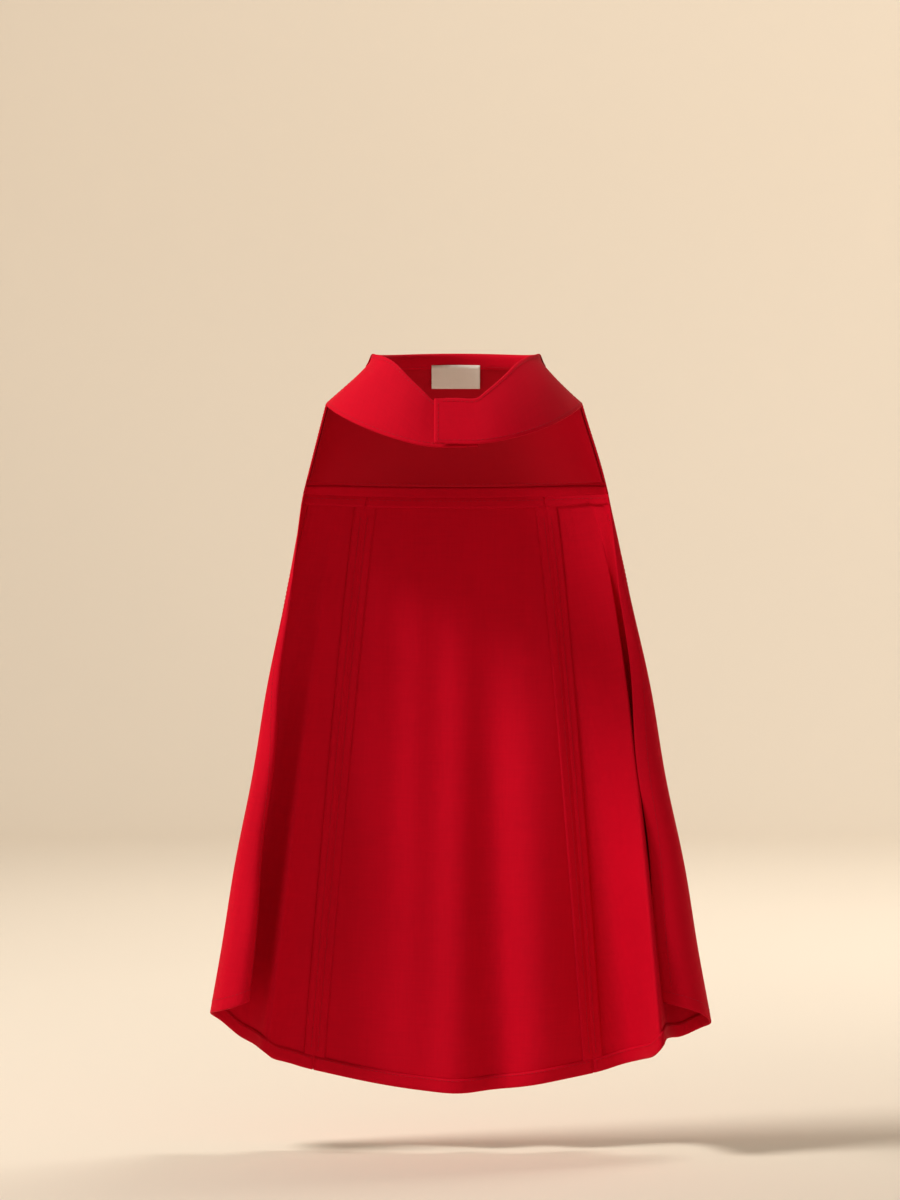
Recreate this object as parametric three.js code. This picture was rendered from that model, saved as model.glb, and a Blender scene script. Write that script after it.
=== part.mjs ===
// A child's superhero cape, hanging as it is worn: a yoke that lies round the neck and over the
// shoulders, two front tabs that close at the throat with a hook pad and a loop pad, and a flared
// drape of three panels below the yoke.
//
// Millimetres, +Z up. +X is the wearer's left and +Y the wearer's back, so the throat faces -Y.
// The origin is the middle of the neck opening.
//
// Every cloth piece is a thin closed sheet. It follows a surface written as surface(across, down, point),
// both from 0 to 1, with `across` running so that the cloth's outer face is on the side of
// d(across) x d(down). Each left-hand piece is written out, and its right-hand twin is its mirror image.
import * as THREE from "three";
import { ParametricGeometry } from "three/addons/geometries/ParametricGeometry.js";

const { degToRad, lerp, smoothstep } = THREE.MathUtils;

// Cloth thicknesses and the space between neighbouring pieces.
const OUTER_CLOTH = 0.8;
const FACING_CLOTH = 0.6;
const INTERFACING_CLOTH = 0.5;
const BINDING_CLOTH = 0.5;
const LABEL_CLOTH = 0.5;
const LAYER_GAP = 0.3; // between one layer and the next
const SEAM_GAP = 0.4; // between two pieces that meet edge to edge

// Neck opening, measured along the neckline edge.
const NECK_HALF_WIDTH = 54;
const NAPE_BEHIND = 52; // nape, behind the origin
const THROAT_AHEAD = 50; // throat, ahead of the origin
const NECK_SIDE_HEIGHT = 26;
const NAPE_HEIGHT = 30;
const THROAT_HEIGHT = -6;

// Shoulder seam, from the neckline edge outwards.
const SHOULDER_OUT = 29;
const SHOULDER_BACK = 4;
const SHOULDER_DROP = 30;

// Front tabs.
const TAB_RISE_START = 0.36; // share of the way to the throat at which the neckline edge starts to fall
const TAB_END_DROP = 28; // the tab's depth at the throat, down the slope of the chest
const TAB_END_AHEAD = 10;

// Hook and loop closure: the two pads lie face to face where the tabs cross.
const PAD_WIDTH = 22;
const PAD_HEIGHT = 22;
const HOOK_THICKNESS = 1.4;
const LOOP_THICKNESS = 1.6;
const PAD_BORDER = 2; // cloth left round a pad
const CLOSURE_HALF_WIDTH = PAD_WIDTH / 2 + PAD_BORDER;

// Yoke: from the neckline down to the seam across the shoulder blades.
const YOKE_DEPTH = 92;
const BLADE_BEHIND = 88; // the seam's middle, behind the origin
const YOKE_CORNER_OUT = 100; // the seam's ends
const YOKE_CORNER_BEHIND = 62;
const YOKE_CORNER_RISE = 2;
const SHOULDER_SHARE = 0.4; // share of the yoke's rows that run along the shoulder seam

// Drape: from the yoke seam to the hem.
const DRAPE_LENGTH = 393; // down the middle of the back
const HEM_HALF_WIDTH = 165;
const HEM_BEHIND = 122; // the hem's middle, behind the origin
const HEM_SIDE_BEHIND = 85; // the hem's outermost fold
const HEM_SIDE_RISE = 52;
const HEM_EDGE_RISE = 11; // from the outermost fold on to the front edge
const SIDE_SEAM_ANGLE = 36; // degrees round from the middle of the back
const FOLD_COUNT = 3; // soft folds across the width
const FOLD_DEPTH = 5;

// The drape's front edges turn forwards and back in.
const CURL_FORWARD_TOP = 3;
const CURL_FORWARD_HEM = 30;
const CURL_INWARD_HEM = 27;

// Neck binding and care label.
const BINDING_DEPTH = 7; // each leg of the folded binding
const BINDING_SETBACK = 3; // short of each shoulder seam
const INTERFACING_SHARE = 0.5; // share of the yoke's depth, from the neckline
const INTERFACING_INSET = 0.03;
const FACING_SHARE = 0.92;
const LABEL_WIDTH = 24;
const LABEL_DEPTH = 14;

// Offsets of each layer's middle from the outer cloth's middle.
const TAB_FACING_OFFSET = -(OUTER_CLOTH + FACING_CLOTH) / 2 - LAYER_GAP;
const INTERFACING_OFFSET = -(OUTER_CLOTH + INTERFACING_CLOTH) / 2 - LAYER_GAP;
const YOKE_FACING_OFFSET =
  INTERFACING_OFFSET - (INTERFACING_CLOTH + FACING_CLOTH) / 2 - LAYER_GAP;
const BINDING_OUTSIDE = (OUTER_CLOTH + BINDING_CLOTH) / 2 + LAYER_GAP;
const BINDING_INSIDE = YOKE_FACING_OFFSET - (FACING_CLOTH + BINDING_CLOTH) / 2 - LAYER_GAP;
const LABEL_OFFSET = YOKE_FACING_OFFSET - (FACING_CLOTH + LABEL_CLOTH) / 2 - LAYER_GAP;

// Stack of layers where the left tab lies over the right one, measured from the right tab's outer cloth.
const LOOP_OFFSET = (OUTER_CLOTH + LOOP_THICKNESS) / 2 + LAYER_GAP;
const HOOK_OFFSET = LOOP_OFFSET + (LOOP_THICKNESS + HOOK_THICKNESS) / 2 + LAYER_GAP;
const LEFT_TAB_LIFT =
  HOOK_OFFSET + HOOK_THICKNESS / 2 + LAYER_GAP + FACING_CLOTH + LAYER_GAP + OUTER_CLOTH / 2;

const QUARTER_TURN = Math.PI / 2;
const SIDE_SEAM = degToRad(SIDE_SEAM_ANGLE);
const NORMAL_STEP = 1e-3;

// ---------------------------------------------------------------- sheets

// How far the surface runs from one place on it to another.
function span(surface, fromAcross, fromDown, toAcross, toDown) {
  const start = surface(fromAcross, fromDown, new THREE.Vector3());
  return surface(toAcross, toDown, new THREE.Vector3()).sub(start);
}

// Unit normal of a surface, on the cloth's outer side.
function normalAt(surface, across, down) {
  const [left, right] = [Math.max(across - NORMAL_STEP, 0), Math.min(across + NORMAL_STEP, 1)];
  const [above, below] = [Math.max(down - NORMAL_STEP, 0), Math.min(down + NORMAL_STEP, 1)];
  const sideways = span(surface, left, down, right, down);
  return sideways.cross(span(surface, across, above, across, below)).normalize();
}

// The surface moved outwards by a distance, which may change along the cloth.
function offset(surface, distance) {
  const lift = typeof distance === "function" ? distance : () => distance;
  return (across, down, point) =>
    surface(across, down, point).addScaledVector(normalAt(surface, across, down), lift(across));
}

// Part of a surface, between two shares of its width and two of its depth.
function portion(surface, fromAcross, toAcross, fromDown, toDown) {
  return (across, down, point) =>
    surface(lerp(fromAcross, toAcross, across), lerp(fromDown, toDown, down), point);
}

// The right-hand twin of a left-hand surface.
function mirrored(surface) {
  return (across, down, point) => {
    surface(1 - across, down, point);
    point.x = -point.x;
    return point;
  };
}

// A closed sheet of even thickness. Going once round it visits the outer face from edge to edge and then
// the inner face back again. Its first and last rows close on the surface itself, which makes the end walls.
function sheet(surface, thickness, columns, rows) {
  const outer = offset(surface, thickness / 2);
  const inner = offset(surface, -thickness / 2);
  const round = 2 * columns + 2;
  const levels = rows + 2;
  return new ParametricGeometry(
    (u, v, point) => {
      const step = Math.round(u * round) % round;
      const level = Math.round(v * levels);
      const down = THREE.MathUtils.clamp((level - 1) / rows, 0, 1);
      const onOuter = step <= columns;
      const across = onOuter ? step / columns : 1 - (step - columns - 1) / columns;
      const onEndRow = level === 0 || level === levels;
      const face = onEndRow ? surface : onOuter ? outer : inner;
      face(across, down, point);
    },
    round,
    levels,
  );
}

// ---------------------------------------------------------------- surfaces

const shoulderNeck = new THREE.Vector3(NECK_HALF_WIDTH, 0, NECK_SIDE_HEIGHT);
const shoulderTip = new THREE.Vector3(
  NECK_HALF_WIDTH + SHOULDER_OUT,
  SHOULDER_BACK,
  NECK_SIDE_HEIGHT - SHOULDER_DROP,
);
const yokeSeamHeight = NAPE_HEIGHT - YOKE_DEPTH;
const yokeCorner = new THREE.Vector3(
  YOKE_CORNER_OUT,
  YOKE_CORNER_BEHIND,
  yokeSeamHeight + YOKE_CORNER_RISE,
);

// One point on a cross-section that runs from side to side round the back, at `angle` from its middle.
function roundTheBack(angle, side, middle, point) {
  const turned = Math.sin(angle);
  return point.set(
    side.x * turned,
    lerp(side.y, middle.y, Math.cos(angle)),
    lerp(middle.z, side.z, turned * turned),
  );
}

// Yoke: its sides follow the shoulder seam and then the cape's free edge down to the yoke seam.
const yokeSide = new THREE.Vector3();
const yokeMiddle = new THREE.Vector3();
function yoke(across, down, point) {
  if (down < SHOULDER_SHARE) {
    yokeSide.lerpVectors(shoulderNeck, shoulderTip, down / SHOULDER_SHARE);
  } else {
    yokeSide.lerpVectors(shoulderTip, yokeCorner, (down - SHOULDER_SHARE) / (1 - SHOULDER_SHARE));
  }
  yokeMiddle.set(
    0,
    lerp(BLADE_BEHIND, NAPE_BEHIND, (1 - down) ** 2),
    lerp(NAPE_HEIGHT, yokeSeamHeight, down),
  );
  return roundTheBack(lerp(-QUARTER_TURN, QUARTER_TURN, across), yokeSide, yokeMiddle, point);
}

// Left tab: a ruled surface from the neckline edge to the tab's outer edge. It curves from the shoulder
// seam to the throat, and its last stretch is flat and crosses the middle.
const TAB_COLUMNS = 18;
const TAB_FLAT_COLUMNS = 4;
const TAB_CURVED_SHARE = 1 - TAB_FLAT_COLUMNS / TAB_COLUMNS;
const throatEdge = new THREE.Vector3(CLOSURE_HALF_WIDTH, -THROAT_AHEAD, THROAT_HEIGHT);
const throatTip = new THREE.Vector3(
  CLOSURE_HALF_WIDTH,
  throatEdge.y - TAB_END_AHEAD,
  throatEdge.z - TAB_END_DROP,
);
const tabStart = new THREE.Vector3();
const tabEnd = new THREE.Vector3();
function leftTab(across, down, point) {
  tabStart.lerpVectors(shoulderNeck, shoulderTip, down);
  tabEnd.lerpVectors(throatEdge, throatTip, down);
  if (across > TAB_CURVED_SHARE) {
    const pastCurve = (across - TAB_CURVED_SHARE) / (1 - TAB_CURVED_SHARE);
    point.copy(tabEnd);
    point.x -= 2 * CLOSURE_HALF_WIDTH * pastCurve;
  } else {
    const share = across / TAB_CURVED_SHARE;
    const angle = share * QUARTER_TURN;
    point.set(
      lerp(tabEnd.x, tabStart.x, Math.cos(angle)),
      lerp(tabStart.y, tabEnd.y, Math.sin(angle)),
      lerp(tabStart.z, tabEnd.z, smoothstep(share, TAB_RISE_START, 1)),
    );
  }
  point.y -= SEAM_GAP;
  return point;
}

// The left tab rises clear of the right one on its way to the throat.
function leftTabLift(across) {
  return LEFT_TAB_LIFT * smoothstep(across, TAB_CURVED_SHARE * TAB_RISE_START, TAB_CURVED_SHARE);
}

// Drape: every line from the yoke seam down to the hem is straight. `angle` is measured round from the
// middle of the back, and `curl` goes from 0 at the outermost fold to a quarter turn at the front edge.
const drapeSide = new THREE.Vector3();
const drapeMiddle = new THREE.Vector3();
function drape(angle, curl, down, point) {
  const top = yokeSeamHeight - SEAM_GAP;
  drapeSide.set(
    lerp(YOKE_CORNER_OUT, HEM_HALF_WIDTH, down),
    lerp(YOKE_CORNER_BEHIND, HEM_SIDE_BEHIND, down),
    top + lerp(YOKE_CORNER_RISE, HEM_SIDE_RISE - DRAPE_LENGTH, down),
  );
  drapeMiddle.set(0, lerp(BLADE_BEHIND, HEM_BEHIND, down), top - DRAPE_LENGTH * down);
  roundTheBack(angle, drapeSide, drapeMiddle, point);
  point.y += FOLD_DEPTH * down * Math.sin(2 * FOLD_COUNT * angle) ** 2;
  point.x -= CURL_INWARD_HEM * down * (1 - Math.cos(curl));
  point.y -= lerp(CURL_FORWARD_TOP, CURL_FORWARD_HEM, down) * Math.sin(curl);
  point.z += HEM_EDGE_RISE * down * Math.sin(curl);
  return point;
}

const halfSeamAngle = SEAM_GAP / 2 / (YOKE_CORNER_OUT * Math.cos(SIDE_SEAM));

function backPanel(across, down, point) {
  const reach = SIDE_SEAM - halfSeamAngle;
  return drape(lerp(-reach, reach, across), 0, down, point);
}

// Left side panel: from the side seam round to the outermost fold, and on round the curl.
const SIDE_COLUMNS = 18;
const CURL_COLUMNS = 6;
const FOLD_SHARE = 1 - CURL_COLUMNS / SIDE_COLUMNS;
function leftSidePanel(across, down, point) {
  const angle = lerp(SIDE_SEAM + halfSeamAngle, QUARTER_TURN, Math.min(across / FOLD_SHARE, 1));
  const curl = QUARTER_TURN * Math.max((across - FOLD_SHARE) / (1 - FOLD_SHARE), 0);
  return drape(angle, curl, down, point);
}

// Neck binding: a strip folded over the yoke's neckline edge, down the outside and down the inside.
// Its fold is a half circle from one leg to the other.
const BINDING_ROWS = 12;
const BINDING_LEG_SHARE = 1 / 3;
function neckBinding(across, down, point) {
  const setback = BINDING_SETBACK / (Math.PI * NECK_HALF_WIDTH);
  const along = lerp(setback, 1 - setback, across);
  const up = span(yoke, along, NORMAL_STEP, along, 0).normalize();
  const middle = (BINDING_OUTSIDE + BINDING_INSIDE) / 2;
  const radius = (BINDING_OUTSIDE - BINDING_INSIDE) / 2;
  const outsideLeg = 1 - Math.min(down / BINDING_LEG_SHARE, 1);
  const insideLeg = 1 - Math.min((1 - down) / BINDING_LEG_SHARE, 1);
  const turn = THREE.MathUtils.clamp((down - BINDING_LEG_SHARE) / BINDING_LEG_SHARE, 0, 1) * Math.PI;
  return yoke(along, 0, point)
    .addScaledVector(normalAt(yoke, along, 0), middle + radius * Math.cos(turn))
    .addScaledVector(up, radius * Math.sin(turn) - BINDING_DEPTH * (outsideLeg + insideLeg));
}

// Care label: hangs from the binding's inside leg at the nape.
function careLabel(across, down, point) {
  const halfShare = LABEL_WIDTH / 2 / (Math.PI * NAPE_BEHIND);
  const top = (BINDING_DEPTH + SEAM_GAP) / YOKE_DEPTH;
  const label = portion(yoke, 0.5 - halfShare, 0.5 + halfShare, top, top + LABEL_DEPTH / YOKE_DEPTH);
  return label(across, down, point);
}

// ---------------------------------------------------------------- pieces

const RED = 0xa80018;
const redCloth = new THREE.MeshStandardMaterial({ color: RED, roughness: 0.72, metalness: 0 });
const facingCloth = new THREE.MeshStandardMaterial({ color: 0x8c0012, roughness: 0.8, metalness: 0 });
const interfacingCloth = new THREE.MeshStandardMaterial({ color: 0xe9e4dc, roughness: 0.95, metalness: 0 });
const labelCloth = new THREE.MeshStandardMaterial({ color: 0xf2efe8, roughness: 0.6, metalness: 0 });
const hookTape = new THREE.MeshStandardMaterial({ color: 0x9a0f1c, roughness: 0.55, metalness: 0 });
const loopTape = new THREE.MeshStandardMaterial({ color: 0x9a0f1c, roughness: 0.95, metalness: 0 });

function piece(name, geometry, material) {
  const mesh = new THREE.Mesh(geometry, material.clone());
  mesh.name = name;
  return mesh;
}

function group(...members) {
  const made = new THREE.Group();
  made.add(...members);
  return made;
}

const YOKE_COLUMNS = 32;
const YOKE_ROWS = 10;
const DRAPE_ROWS = 10;
const BACK_COLUMNS = 24;
const LABEL_COLUMNS = 4;
const LABEL_ROWS = 3;
const TAB_ROWS = 5;

const yokeFacing = offset(portion(yoke, 0, 1, 0, FACING_SHARE), YOKE_FACING_OFFSET);
const interfacing = offset(
  portion(yoke, INTERFACING_INSET, 1 - INTERFACING_INSET, INTERFACING_INSET, INTERFACING_SHARE),
  INTERFACING_OFFSET,
);
const yokePieces = group(
  piece("back_yoke_outer", sheet(yoke, OUTER_CLOTH, YOKE_COLUMNS, YOKE_ROWS), redCloth),
  piece("back_yoke_facing", sheet(yokeFacing, FACING_CLOTH, YOKE_COLUMNS, YOKE_ROWS), facingCloth),
  piece(
    "neck_interfacing",
    sheet(interfacing, INTERFACING_CLOTH, YOKE_COLUMNS, YOKE_ROWS / 2),
    interfacingCloth,
  ),
  piece("neck_binding", sheet(neckBinding, BINDING_CLOTH, YOKE_COLUMNS, BINDING_ROWS), redCloth),
  piece(
    "care_label",
    sheet(offset(careLabel, LABEL_OFFSET), LABEL_CLOTH, LABEL_COLUMNS, LABEL_ROWS),
    labelCloth,
  ),
);

// A tab's two layers, given its surface and how far it is lifted off the chest.
function tab(side, surface, lift) {
  const facingLift = (across) => lift(across) + TAB_FACING_OFFSET;
  return [
    piece(`${side}_tab_outer`, sheet(offset(surface, lift), OUTER_CLOTH, TAB_COLUMNS, TAB_ROWS), redCloth),
    piece(
      `${side}_tab_facing`,
      sheet(offset(surface, facingLift), FACING_CLOTH, TAB_COLUMNS, TAB_ROWS),
      facingCloth,
    ),
  ];
}

// A pad lies in the plane of the tabs' flat ends, `lift` in front of the right tab's outer cloth.
function pad(name, thickness, lift, material) {
  const mesh = piece(name, new THREE.BoxGeometry(PAD_WIDTH, thickness, PAD_HEIGHT), material);
  mesh.position.y = -lift;
  const closure = group(mesh);
  closure.position.set(
    0,
    (throatEdge.y + throatTip.y) / 2 - SEAM_GAP,
    (throatEdge.z + throatTip.z) / 2,
  );
  closure.rotation.x = -Math.atan2(TAB_END_AHEAD, TAB_END_DROP);
  return closure;
}

const leftTabPieces = group(
  ...tab("left", leftTab, leftTabLift),
  pad("hook_pad", HOOK_THICKNESS, HOOK_OFFSET, hookTape),
);
const rightTabPieces = group(
  ...tab("right", mirrored(leftTab), () => 0),
  pad("loop_pad", LOOP_THICKNESS, LOOP_OFFSET, loopTape),
);

const drapePieces = group(
  piece("back_panel", sheet(backPanel, OUTER_CLOTH, BACK_COLUMNS, DRAPE_ROWS), redCloth),
  piece("left_side_panel", sheet(leftSidePanel, OUTER_CLOTH, SIDE_COLUMNS, DRAPE_ROWS), redCloth),
  piece(
    "right_side_panel",
    sheet(mirrored(leftSidePanel), OUTER_CLOTH, SIDE_COLUMNS, DRAPE_ROWS),
    redCloth,
  ),
);

const cape = group(yokePieces, leftTabPieces, rightTabPieces, drapePieces);
export default cape;
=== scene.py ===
"""A child's superhero cape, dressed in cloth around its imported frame, with a plain studio stage."""

import math

import bmesh
import bpy
import numpy as np
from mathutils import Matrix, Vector


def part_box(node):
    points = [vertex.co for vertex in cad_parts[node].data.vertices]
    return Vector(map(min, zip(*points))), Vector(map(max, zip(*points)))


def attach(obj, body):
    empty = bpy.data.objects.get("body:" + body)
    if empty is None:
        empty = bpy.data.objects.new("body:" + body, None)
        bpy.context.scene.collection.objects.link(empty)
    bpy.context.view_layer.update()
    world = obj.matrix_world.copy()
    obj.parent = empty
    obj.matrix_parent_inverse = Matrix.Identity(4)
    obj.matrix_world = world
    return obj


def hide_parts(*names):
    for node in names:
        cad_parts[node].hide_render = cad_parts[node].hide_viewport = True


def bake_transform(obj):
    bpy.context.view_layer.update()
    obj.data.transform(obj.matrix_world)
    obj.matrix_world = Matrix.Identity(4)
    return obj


bl_info = {
    "name": "Superhero Cape",
    "version": (1, 0, 0),
    "blender": (4, 5, 0),
    "location": "3D View > Sidebar > Cape",
    "description": "Makes the cloth pieces of a child's superhero cape and a studio stage for it",
    "category": "Add Mesh",
}

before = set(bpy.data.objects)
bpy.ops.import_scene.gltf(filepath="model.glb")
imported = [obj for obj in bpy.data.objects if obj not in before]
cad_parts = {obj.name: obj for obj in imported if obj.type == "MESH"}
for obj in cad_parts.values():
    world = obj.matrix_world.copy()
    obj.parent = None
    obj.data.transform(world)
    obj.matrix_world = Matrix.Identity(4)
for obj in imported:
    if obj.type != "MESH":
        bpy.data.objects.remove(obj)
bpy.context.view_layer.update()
MM = 0.001
SEAM_GAP = 0.4 * MM
SEAM_JOIN = 0.35 * MM  # how far a panel's fold line stays in from the seam
TAB_SWELL = 1.5 * MM
HANG_FRAMES = 30
HOLD_STEPS = 16
FREE_FROM, HELD_FROM = 0.2, 0.65  # shares of the way from the middle of the back to a free edge
STITCH_SIDES = 6
STITCH_STATIONS = np.array([0.0, 0.15, 0.5, 0.85, 1.0])  # shares of a stitch's length
STITCH_SWELL = np.array([0.45, 0.95, 1.0, 0.95, 0.45])  # thickness there
STITCH_RISE = np.array([-0.3, 0.2, 0.35, 0.2, -0.3])  # height there, in thread diameters
BEND_ROWS = 5  # rows round a folded edge
TURNED_ROWS = 5  # rows up the turned part
WELD = 1e-6


# ---------------------------------------------------------------- settings


def length(name, description, default):
    """A size setting, in metres."""
    return bpy.props.FloatProperty(name=name, description=description, default=default, unit="LENGTH")


def colour(name, description, default):
    """A colour setting, as linear red, green and blue."""
    return bpy.props.FloatVectorProperty(
        name=name, description=description, subtype="COLOR", size=3, default=default
    )


class CapeSizes(bpy.types.PropertyGroup):
    """Sizes of the cloth, in metres, and how it hangs, as shares."""

    cloth: length("Cloth", "Thickness of the outer cloth", 0.0006)
    lining: length("Lining", "Thickness of the lining", 0.0004)
    hem: length("Hem", "Depth of the turned hem", 0.009)
    seam_allowance: length("Seam allowance", "Cloth turned in at a side seam", 0.007)
    stitch: length("Stitch", "Length of one stitch", 0.0022)
    stitch_pitch: length("Stitch pitch", "From one stitch to the next", 0.0029)
    thread: length("Thread", "Diameter of the sewing thread", 0.00032)
    fullness: bpy.props.FloatProperty(
        name="Fullness", description="Share by which the drape is cut over its hung size", default=0.02
    )
    hold_middle: bpy.props.FloatProperty(
        name="Hold, middle", description="How firmly the back keeps its shape as it hangs", default=0.05
    )
    hold_side: bpy.props.FloatProperty(
        name="Hold, sides", description="How firmly the sides keep their folds as they hang", default=0.3
    )


class CapeColours(bpy.types.PropertyGroup):
    """Colours of the cape and the stage."""

    cloth: colour("Cloth", "Outer cloth", (0.62, 0.0002, 0.016))
    lining: colour("Lining", "Lining", (0.5, 0.0006, 0.012))
    thread: colour("Thread", "Sewing thread", (0.5, 0.0012, 0.016))
    stiffener: colour("Stiffener", "Interfacing", (0.8, 0.77, 0.71))
    label: colour("Label", "Blank label", (0.86, 0.84, 0.79))
    tape: colour("Tape", "Hook and loop tape", (0.3, 0.006, 0.014))
    backdrop: colour("Backdrop", "Floor and wall", (0.80, 0.715, 0.605))


# ---------------------------------------------------------------- curves and grids


def smooth(t):
    """3t^2 - 2t^3 of t held between 0 and 1: an even start and an even stop."""
    t = np.clip(t, 0.0, 1.0)
    return t * t * (3.0 - 2.0 * t)


def mix(a, b, t):
    """The point at share t from a to b."""
    return a + (b - a) * t


def spline_weights(count, where):
    """Catmull-Rom weights, as a matrix of len(where) rows by count columns.

    A place between points i and i+1 is a cubic in its share of the way, drawn from points i-1 to i+2.
    The first and last point are carried on in a straight line past the ends.
    """
    where = np.asarray(where, float)
    i = np.clip(where.astype(int), 0, count - 2)
    t = where - i
    cubic = np.stack(
        [
            -0.5 * t + t**2 - 0.5 * t**3,
            1.0 - 2.5 * t**2 + 1.5 * t**3,
            0.5 * t + 2.0 * t**2 - 1.5 * t**3,
            -0.5 * t**2 + 0.5 * t**3,
        ]
    )
    weights = np.zeros((len(where), count))
    rows = np.arange(len(where))
    for k, share in zip((-1, 0, 1, 2), cubic):
        column = i + k
        inside = (column >= 0) & (column < count)
        np.add.at(weights, (rows[inside], column[inside]), share[inside])
        before = column < 0
        np.add.at(weights, (rows[before], np.zeros(before.sum(), int)), 2 * share[before])
        np.add.at(weights, (rows[before], np.ones(before.sum(), int)), -share[before])
        after = column >= count
        np.add.at(weights, (rows[after], np.full(after.sum(), count - 1)), 2 * share[after])
        np.add.at(weights, (rows[after], np.full(after.sum(), count - 2)), -share[after])
    return weights


def resample(grid, rows, columns):
    """The grid (rows, columns, 3) read again at these row and column places, by spline both ways."""
    down = spline_weights(grid.shape[0], rows)
    across = spline_weights(grid.shape[1], columns)
    return np.einsum("ri,ijk,cj->rck", down, grid, across)


def unit(vectors):
    """Each vector over its own length."""
    return vectors / np.maximum(np.linalg.norm(vectors, axis=-1, keepdims=True), 1e-12)


def grid_normals(grid):
    """Unit normals of a grid: the cross product of its slope across and its slope down."""
    return unit(np.cross(np.gradient(grid, axis=1), np.gradient(grid, axis=0)))


def lengths(grid, axis):
    """Distance run along one axis of a grid, from its first row or column."""
    steps = np.linalg.norm(np.diff(grid, axis=axis), axis=-1)
    start = np.zeros_like(np.take(steps, [0], axis=axis))
    return np.concatenate([start, np.cumsum(steps, axis=axis)], axis=axis)


def flat_places(grid):
    """Where each grid point lies on the cut cloth, in metres: along the grain across and down.

    Across is measured from the middle column and down from the first row.
    """
    across = lengths(grid, 1)
    across = across - across[:, [across.shape[1] // 2]]
    return np.stack([across, lengths(grid, 0)], axis=-1)


def side_first(values, side):
    """The grid turned so that its top, bottom, left or right side is its first row."""
    if side in ("left", "right"):
        values = values.transpose(1, 0, 2)
    return values[::-1] if side in ("bottom", "right") else values


def from_edge(values, points, distances):
    """The values read at these distances from the first row, measured along each column of points."""
    run = lengths(points, 0)
    want = np.asarray(distances, float)[:, None, None]
    low = np.clip((run[None] <= want).sum(axis=1) - 1, 0, run.shape[0] - 2)
    start = np.take_along_axis(run, low, axis=0)
    step = np.take_along_axis(run, low + 1, axis=0) - start
    share = ((want[:, 0] - start) / step)[..., None]
    first = np.take_along_axis(values, low[..., None], axis=0)
    return mix(first, np.take_along_axis(values, low[..., None] + 1, axis=0), share)


def edge_rows(grid, side, distances):
    """Points and normals of a cloth at these distances in from one side, a row for each."""
    points = side_first(grid, side)
    normals = side_first(grid_normals(grid), side)
    return from_edge(points, points, distances), unit(from_edge(normals, points, distances))


def edge_fold(grid, side, depth, lift, trim=(0, 0)):
    """The turned-under strip along one side of a cloth: its top, bottom, left or right.

    It leaves the edge on a half circle, whose radius is half of lift, and runs back along the inner
    face, lift away from the cloth's middle. trim leaves that many rows or columns out at its ends.
    """
    points, normals = edge_rows(grid, side, np.linspace(0.0, depth, TURNED_ROWS))
    out = unit(points[0] - points[1])
    turn = np.linspace(0.0, math.pi, BEND_ROWS)[:-1, None, None]
    bend = points[0] - normals[0] * (lift / 2) * (1.0 - np.cos(turn)) + out * (lift / 2) * np.sin(turn)
    strip = np.concatenate([bend, points - normals * lift])
    strip = strip[:, trim[0] : strip.shape[1] - trim[1]]
    strip = strip[::-1] if side in ("top", "left") else strip
    return strip.transpose(1, 0, 2) if side in ("left", "right") else strip


def raised(grid, lift):
    """The grid moved along its normals by lift, which is a number or an array over the grid."""
    return grid + grid_normals(grid) * (lift if np.ndim(lift) == 0 else lift[..., None])


# ---------------------------------------------------------------- meshes


def face_lists(faces):
    """Faces as lists, from an array or from lists of different lengths."""
    return faces.tolist() if isinstance(faces, np.ndarray) else faces


def make_object(name, points, faces, material, places=None):
    """A smooth mesh object at the origin, from points, faces and, for cloth, its places on the cut."""
    mesh = bpy.data.meshes.new(name)
    mesh.from_pydata(points.reshape(-1, 3).tolist(), [], face_lists(faces))
    mesh.polygons.foreach_set("use_smooth", np.ones(len(mesh.polygons), bool))
    if places is not None:
        layer = mesh.uv_layers.new(name="cut")
        corners = np.zeros(len(mesh.loops), np.int32)
        mesh.loops.foreach_get("vertex_index", corners)
        layer.data.foreach_set("uv", places.reshape(-1, 2)[corners].astype(np.float32).ravel())
    mesh.update()
    made = bpy.data.objects.new(name, mesh)
    bpy.context.collection.objects.link(made)
    made.data.materials.append(material)
    return made


def grid_faces(rows, columns):
    """The quads of a grid, each going across and then down, so it faces along across x down."""
    corner = np.arange(rows * columns).reshape(rows, columns)
    return np.stack(
        [corner[:-1, :-1], corner[:-1, 1:], corner[1:, 1:], corner[1:, :-1]], axis=-1
    ).reshape(-1, 4)


def join_grids(grids):
    """Points, faces and cut places of several grids that share no points."""
    points, faces, places, start = [], [], [], 0
    for grid in grids:
        points.append(grid.reshape(-1, 3))
        faces.append(grid_faces(*grid.shape[:2]) + start)
        places.append(flat_places(grid).reshape(-1, 2))
        start += grid.shape[0] * grid.shape[1]
    return np.concatenate(points), np.concatenate(faces), np.concatenate(places)


def weld(made):
    """Joins the points that two grids of one piece share along their edges."""
    shell = bmesh.new()
    shell.from_mesh(made.data)
    bmesh.ops.remove_doubles(shell, verts=shell.verts, dist=WELD)
    shell.to_mesh(made.data)
    shell.free()
    return made


def give_thickness(made, thickness):
    """Walls the sheet, with half of the thickness on either side."""
    wall = made.modifiers.new("wall", "SOLIDIFY")
    wall.thickness = thickness
    wall.offset = 0.0
    return made


def cloth_object(name, grids, thickness, material):
    """One cloth piece: its grids welded into one mesh, with a thickness."""
    points, faces, places = join_grids(grids)
    return give_thickness(weld(make_object(name, points, faces, material, places)), thickness)


def tube_faces(rings, sides):
    """A tube's point numbers, a row for each ring, and its wall's quads."""
    corner = np.arange(rings * sides).reshape(rings, sides)
    following = np.roll(corner, -1, axis=1)
    walls = np.stack([corner[:-1], following[:-1], following[1:], corner[1:]], axis=-1)
    return corner, walls.reshape(-1, 4)


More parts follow.
